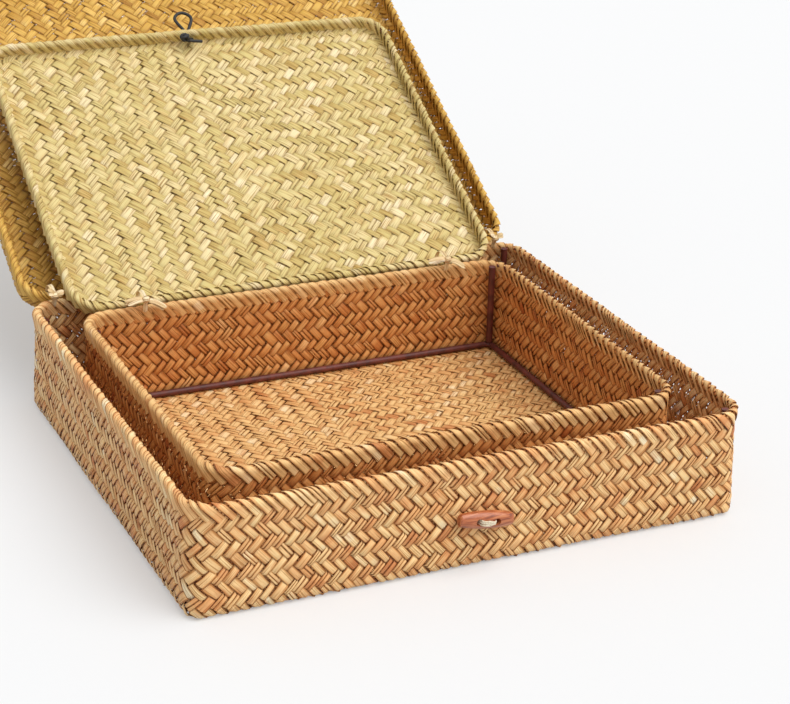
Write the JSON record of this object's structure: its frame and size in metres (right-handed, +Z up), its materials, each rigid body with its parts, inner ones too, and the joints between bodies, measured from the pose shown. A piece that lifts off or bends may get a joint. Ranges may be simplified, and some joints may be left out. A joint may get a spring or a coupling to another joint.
{
  "type": "woven lidded box",
  "caption": "Woven straw storage box with a smaller matching box nested in it; each has a folded rim, wire frame, tray lid tied on at the back, wooden toggle and elastic loop.",
  "frame": {"origin": "middle of the outer box's flat underside", "axes": "+Z up, -Y towards the front wall with the toggle, +X to the right seen from the front"},
  "size_m": [0.34, 0.5785, 0.2255],
  "materials": {
    "straw_outer": "dry woven straw, golden tan",
    "straw_outer_lid": "dry woven straw, greenish tan",
    "straw_inner": "dry woven straw, orange brown",
    "straw_inner_lid": "dry woven straw, pale yellow",
    "coated_wire": "dark red-brown coating, satin",
    "toggle_wood": "stained and varnished",
    "thread": "cream twine",
    "raffia": "pale dry raffia",
    "elastic": "black woven elastic cord"
  },
  "bodies": {
    "outer_box": {"outer_shell": "straw_outer", "outer_rim_border": "straw_outer", "outer_rim_hoop": "coated_wire", "outer_foot_wire": "coated_wire", "outer_post_front_left": "coated_wire", "outer_post_front_right": "coated_wire", "outer_post_back_left": "coated_wire", "outer_post_back_right": "coated_wire", "outer_toggle": "toggle_wood", "outer_toggle_stitch": "thread", "outer_tie_left": "raffia", "outer_tie_right": "raffia"},
    "outer_lid": {"outer_lid_shell": "straw_outer_lid", "outer_lid_border": "straw_outer_lid", "outer_lid_hoop": "coated_wire", "outer_closing_loop": "elastic"},
    "inner_box": {"inner_shell": "straw_inner", "inner_rim_border": "straw_inner", "inner_rim_hoop": "coated_wire", "inner_foot_wire": "coated_wire", "inner_post_front_left": "coated_wire", "inner_post_front_right": "coated_wire", "inner_post_back_left": "coated_wire", "inner_post_back_right": "coated_wire", "inner_toggle": "toggle_wood", "inner_toggle_stitch": "thread", "inner_tie_left": "raffia", "inner_tie_right": "raffia"},
    "inner_lid": {"inner_lid_shell": "straw_inner_lid", "inner_lid_border": "straw_inner_lid", "inner_lid_hoop": "coated_wire", "inner_closing_loop": "elastic"}
  },
  "joints": [
    {"name": "outer_lid_hinge", "type": "hinge", "parent": "outer_box", "child": "outer_lid", "pos_m": [0, 0.1452, 0.06815], "axis": [1, 0, 0], "range_deg": [0, 150]},
    {"name": "inner_box_lift", "type": "slide", "parent": "outer_box", "child": "inner_box", "axis": [0, 0, 1], "range_m": [0, 0.16]},
    {"name": "inner_lid_hinge", "type": "hinge", "parent": "inner_box", "child": "inner_lid", "pos_m": [-0.001, 0.11515, 0.06945], "axis": [1, 0, 0], "range_deg": [0, 150]}
  ],
  "couplings": [
    {"joint": "inner_lid_hinge", "follows": "outer_lid_hinge", "ratio": 1}
  ]
}
